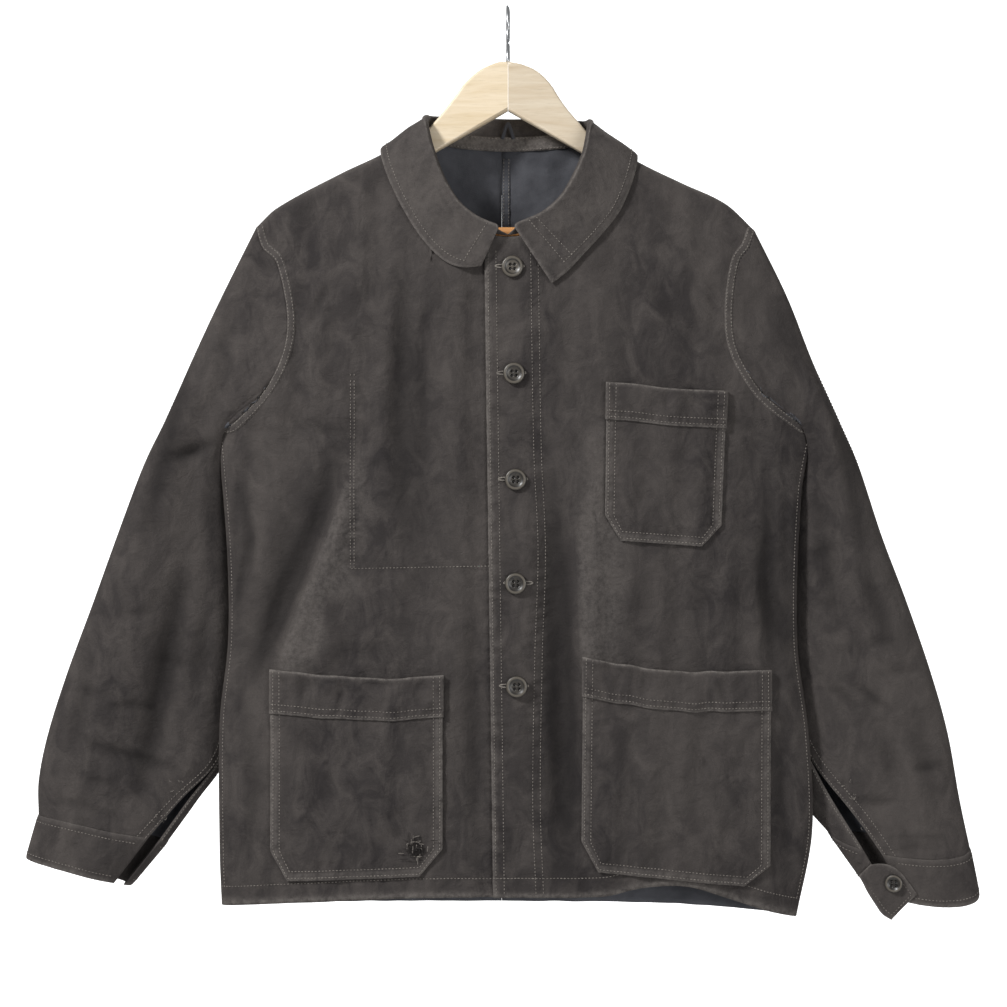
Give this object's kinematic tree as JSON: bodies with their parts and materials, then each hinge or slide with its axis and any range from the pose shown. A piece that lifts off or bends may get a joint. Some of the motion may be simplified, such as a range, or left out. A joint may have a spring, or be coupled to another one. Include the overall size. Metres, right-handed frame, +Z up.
{
  "type": "chore jacket on a wooden hanger",
  "caption": "Buttoned brown moleskin chore jacket with a round collar and patch pockets, hanging on a wooden hanger with a trouser bar",
  "frame": {"origin": "Inner top of the hanger's hook, where a rail or a wall hook carries it", "axes": "+X to the wearer's left across the jacket, +Y to its back, +Z up along the hook"},
  "size_m": [0.9081, 0.083, 0.8688],
  "materials": {
    "moleskin": "Heavy brushed cotton moleskin, faded warm charcoal brown, soft nap, worn paler along its edges",
    "moleskin_inside": "Reverse of the moleskin, plain dark blue grey twill without nap",
    "button": "Dark brown four-hole buttons, half gloss, rubbed at the rim",
    "hanger_wood": "Pale varnished beech with fine straight grain",
    "bar_wood": "Round orange-brown dowel, varnished",
    "hook_steel": "Bright drawn steel wire"
  },
  "bodies": {
    "root": {"back_left": "moleskin", "back_right": "moleskin", "button_1": "button", "button_2": "button", "button_3": "button", "button_4": "button", "button_5": "button", "chest_pocket": "moleskin", "chest_pocket_band": "moleskin", "collar": "moleskin", "cuff_button": "button", "cuff_left": "moleskin", "cuff_right": "moleskin", "cuff_tab": "moleskin", "front_left": "moleskin", "front_right": "moleskin", "hanger_left": "hanger_wood", "hanger_right": "hanger_wood", "hanging_loop": "moleskin_inside", "hook": "hook_steel", "lower_pocket_left": "moleskin", "lower_pocket_left_band": "moleskin", "lower_pocket_right": "moleskin", "lower_pocket_right_band": "moleskin", "neck_band": "moleskin_inside", "top_sleeve_left": "moleskin", "top_sleeve_right": "moleskin", "trouser_bar": "bar_wood", "under_sleeve_left": "moleskin", "under_sleeve_right": "moleskin"}
  },
  "joints": []
}
